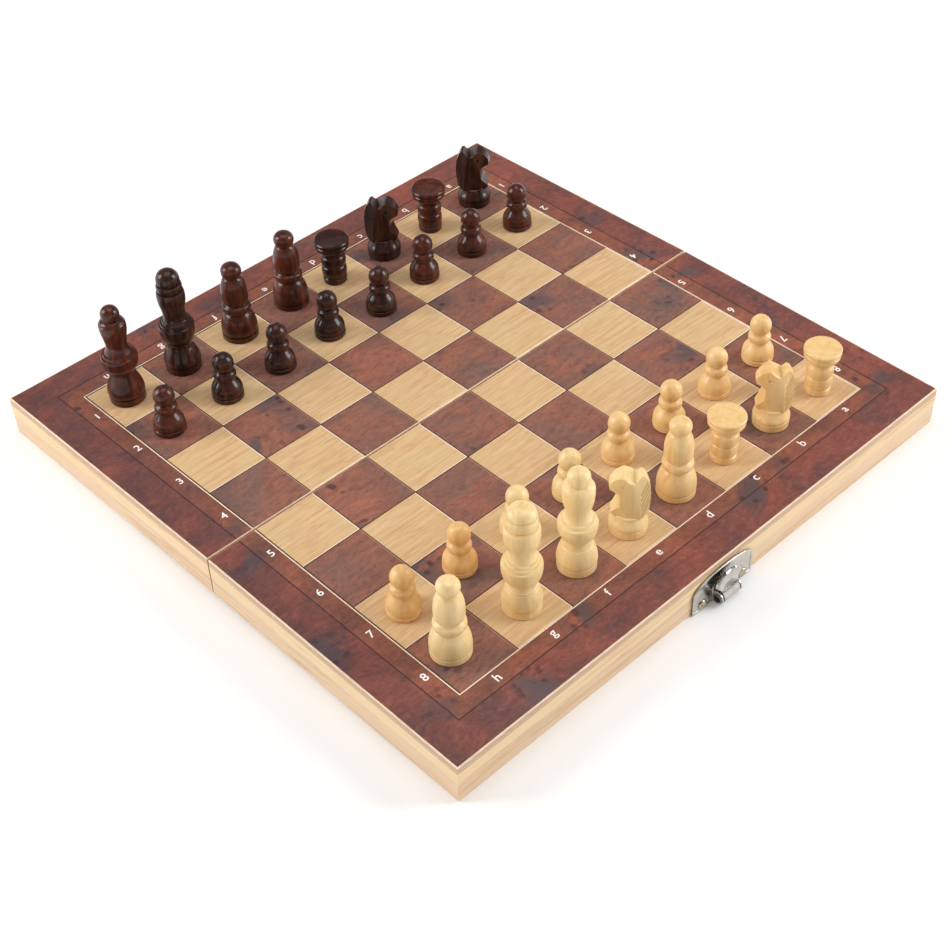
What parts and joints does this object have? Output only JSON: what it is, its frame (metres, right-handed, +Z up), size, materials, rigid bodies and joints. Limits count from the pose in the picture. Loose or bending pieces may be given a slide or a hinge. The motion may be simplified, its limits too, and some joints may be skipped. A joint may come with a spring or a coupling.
{
  "type": "folding chess set with board",
  "caption": "Folding wooden chess board laid open as two hollow trays on hinges, with a metal swing catch and turned wooden chessmen standing on it.",
  "frame": {"origin": "on the table, under the middle of the seam between the two halves of the open board", "axes": "+X runs along the seam from the h file to the a file, +Y from the eighth rank, where the catch is, to the first rank, +Z up"},
  "size_m": [0.24, 0.2479, 0.0619],
  "materials": {
    "printed_panel": "burl and maple printed film on thin plywood, satin",
    "pine": "pale softwood, sanded, thin clear varnish",
    "hinge_metal": "thin brassed steel sheet",
    "screw_steel": "plain bright steel",
    "nickel": "nickel-plated pressed steel, polished",
    "light_wood": "pale yellow boxwood, satin lacquer",
    "dark_wood": "near-black mahogany stain under gloss lacquer"
  },
  "bodies": {
    "front_half": {"front_panel": "printed_panel", "front_outer_rail": "pine", "front_centre_rail": "pine", "front_left_rail": "pine", "front_right_rail": "pine", "left_hinge_front_leaf": "hinge_metal", "right_hinge_front_leaf": "hinge_metal", "left_hinge_pin": "screw_steel", "right_hinge_pin": "screw_steel", "left_hinge_front_screw": "screw_steel", "right_hinge_front_screw": "screw_steel", "latch_plate": "nickel", "latch_pin": "screw_steel", "latch_left_screw": "screw_steel", "latch_right_screw": "screw_steel"},
    "back_half": {"back_panel": "printed_panel", "back_outer_rail": "pine", "back_centre_rail": "pine", "back_left_rail": "pine", "back_right_rail": "pine", "left_hinge_back_leaf": "hinge_metal", "right_hinge_back_leaf": "hinge_metal", "left_hinge_back_screw": "screw_steel", "right_hinge_back_screw": "screw_steel", "keeper_plate": "nickel", "keeper_left_screw": "screw_steel", "keeper_right_screw": "screw_steel"},
    "catch_tongue": {"latch_tongue": "nickel"},
    "dark_bishop_e1": {"dark_bishop_e1": "dark_wood"},
    "dark_bishop_f1": {"dark_bishop_f1": "dark_wood"},
    "dark_king_g1": {"dark_king_g1": "dark_wood"},
    "dark_knight_a1": {"dark_knight_a1": "dark_wood"},
    "dark_knight_c1": {"dark_knight_c1": "dark_wood"},
    "dark_pawn_a2": {"dark_pawn_a2": "dark_wood"},
    "dark_pawn_b2": {"dark_pawn_b2": "dark_wood"},
    "dark_pawn_c2": {"dark_pawn_c2": "dark_wood"},
    "dark_pawn_d2": {"dark_pawn_d2": "dark_wood"},
    "dark_pawn_e2": {"dark_pawn_e2": "dark_wood"},
    "dark_pawn_f2": {"dark_pawn_f2": "dark_wood"},
    "dark_pawn_g2": {"dark_pawn_g2": "dark_wood"},
    "dark_pawn_h2": {"dark_pawn_h2": "dark_wood"},
    "dark_queen_h1": {"dark_queen_h1": "dark_wood"},
    "dark_rook_b1": {"dark_rook_b1": "dark_wood"},
    "dark_rook_d1": {"dark_rook_d1": "dark_wood"},
    "light_bishop_d8": {"light_bishop_d8": "light_wood"},
    "light_bishop_h8": {"light_bishop_h8": "light_wood"},
    "light_king_g8": {"light_king_g8": "light_wood"},
    "light_knight_b8": {"light_knight_b8": "light_wood"},
    "light_knight_e8": {"light_knight_e8": "light_wood"},
    "light_pawn_a7": {"light_pawn_a7": "light_wood"},
    "light_pawn_b7": {"light_pawn_b7": "light_wood"},
    "light_pawn_c7": {"light_pawn_c7": "light_wood"},
    "light_pawn_d7": {"light_pawn_d7": "light_wood"},
    "light_pawn_e7": {"light_pawn_e7": "light_wood"},
    "light_pawn_f7": {"light_pawn_f7": "light_wood"},
    "light_pawn_g7": {"light_pawn_g7": "light_wood"},
    "light_pawn_h7": {"light_pawn_h7": "light_wood"},
    "light_queen_f8": {"light_queen_f8": "light_wood"},
    "light_rook_a8": {"light_rook_a8": "light_wood"},
    "light_rook_c8": {"light_rook_c8": "light_wood"}
  },
  "joints": [
    {"name": "board_fold", "type": "hinge", "parent": "front_half", "child": "back_half", "pos_m": [0, 0, 0.0012], "axis": [-1, 0, 0], "range_deg": [0, 178.7]},
    {"name": "catch_tongue_swing", "type": "hinge", "parent": "front_half", "child": "catch_tongue", "pos_m": [0.0005, -0.12293, 0.00272], "axis": [1, 0, 0], "range_deg": [0, 180]},
    {"name": "dark_bishop_e1_lift", "type": "slide", "parent": "back_half", "child": "dark_bishop_e1", "axis": [0, 0, 1], "range_m": [0, 0.06]},
    {"name": "dark_bishop_f1_lift", "type": "slide", "parent": "back_half", "child": "dark_bishop_f1", "axis": [0, 0, 1], "range_m": [0, 0.06]},
    {"name": "dark_king_g1_lift", "type": "slide", "parent": "back_half", "child": "dark_king_g1", "axis": [0, 0, 1], "range_m": [0, 0.06]},
    {"name": "dark_knight_a1_lift", "type": "slide", "parent": "back_half", "child": "dark_knight_a1", "axis": [0, 0, 1], "range_m": [0, 0.06]},
    {"name": "dark_knight_c1_lift", "type": "slide", "parent": "back_half", "child": "dark_knight_c1", "axis": [0, 0, 1], "range_m": [0, 0.06]},
    {"name": "dark_pawn_a2_lift", "type": "slide", "parent": "back_half", "child": "dark_pawn_a2", "axis": [0, 0, 1], "range_m": [0, 0.06]},
    {"name": "dark_pawn_b2_lift", "type": "slide", "parent": "back_half", "child": "dark_pawn_b2", "axis": [0, 0, 1], "range_m": [0, 0.06]},
    {"name": "dark_pawn_c2_lift", "type": "slide", "parent": "back_half", "child": "dark_pawn_c2", "axis": [0, 0, 1], "range_m": [0, 0.06]},
    {"name": "dark_pawn_d2_lift", "type": "slide", "parent": "back_half", "child": "dark_pawn_d2", "axis": [0, 0, 1], "range_m": [0, 0.06]},
    {"name": "dark_pawn_e2_lift", "type": "slide", "parent": "back_half", "child": "dark_pawn_e2", "axis": [0, 0, 1], "range_m": [0, 0.06]},
    {"name": "dark_pawn_f2_lift", "type": "slide", "parent": "back_half", "child": "dark_pawn_f2", "axis": [0, 0, 1], "range_m": [0, 0.06]},
    {"name": "dark_pawn_g2_lift", "type": "slide", "parent": "back_half", "child": "dark_pawn_g2", "axis": [0, 0, 1], "range_m": [0, 0.06]},
    {"name": "dark_pawn_h2_lift", "type": "slide", "parent": "back_half", "child": "dark_pawn_h2", "axis": [0, 0, 1], "range_m": [0, 0.06]},
    {"name": "dark_queen_h1_lift", "type": "slide", "parent": "back_half", "child": "dark_queen_h1", "axis": [0, 0, 1], "range_m": [0, 0.06]},
    {"name": "dark_rook_b1_lift", "type": "slide", "parent": "back_half", "child": "dark_rook_b1", "axis": [0, 0, 1], "range_m": [0, 0.06]},
    {"name": "dark_rook_d1_lift", "type": "slide", "parent": "back_half", "child": "dark_rook_d1", "axis": [0, 0, 1], "range_m": [0, 0.06]},
    {"name": "light_bishop_d8_lift", "type": "slide", "parent": "front_half", "child": "light_bishop_d8", "axis": [0, 0, 1], "range_m": [0, 0.06]},
    {"name": "light_bishop_h8_lift", "type": "slide", "parent": "front_half", "child": "light_bishop_h8", "axis": [0, 0, 1], "range_m": [0, 0.06]},
    {"name": "light_king_g8_lift", "type": "slide", "parent": "front_half", "child": "light_king_g8", "axis": [0, 0, 1], "range_m": [0, 0.06]},
    {"name": "light_knight_b8_lift", "type": "slide", "parent": "front_half", "child": "light_knight_b8", "axis": [0, 0, 1], "range_m": [0, 0.06]},
    {"name": "light_knight_e8_lift", "type": "slide", "parent": "front_half", "child": "light_knight_e8", "axis": [0, 0, 1], "range_m": [0, 0.06]},
    {"name": "light_pawn_a7_lift", "type": "slide", "parent": "front_half", "child": "light_pawn_a7", "axis": [0, 0, 1], "range_m": [0, 0.06]},
    {"name": "light_pawn_b7_lift", "type": "slide", "parent": "front_half", "child": "light_pawn_b7", "axis": [0, 0, 1], "range_m": [0, 0.06]},
    {"name": "light_pawn_c7_lift", "type": "slide", "parent": "front_half", "child": "light_pawn_c7", "axis": [0, 0, 1], "range_m": [0, 0.06]},
    {"name": "light_pawn_d7_lift", "type": "slide", "parent": "front_half", "child": "light_pawn_d7", "axis": [0, 0, 1], "range_m": [0, 0.06]},
    {"name": "light_pawn_e7_lift", "type": "slide", "parent": "front_half", "child": "light_pawn_e7", "axis": [0, 0, 1], "range_m": [0, 0.06]},
    {"name": "light_pawn_f7_lift", "type": "slide", "parent": "front_half", "child": "light_pawn_f7", "axis": [0, 0, 1], "range_m": [0, 0.06]},
    {"name": "light_pawn_g7_lift", "type": "slide", "parent": "front_half", "child": "light_pawn_g7", "axis": [0, 0, 1], "range_m": [0, 0.06]},
    {"name": "light_pawn_h7_lift", "type": "slide", "parent": "front_half", "child": "light_pawn_h7", "axis": [0, 0, 1], "range_m": [0, 0.06]},
    {"name": "light_queen_f8_lift", "type": "slide", "parent": "front_half", "child": "light_queen_f8", "axis": [0, 0, 1], "range_m": [0, 0.06]},
    {"name": "light_rook_a8_lift", "type": "slide", "parent": "front_half", "child": "light_rook_a8", "axis": [0, 0, 1], "range_m": [0, 0.06]},
    {"name": "light_rook_c8_lift", "type": "slide", "parent": "front_half", "child": "light_rook_c8", "axis": [0, 0, 1], "range_m": [0, 0.06]}
  ]
}
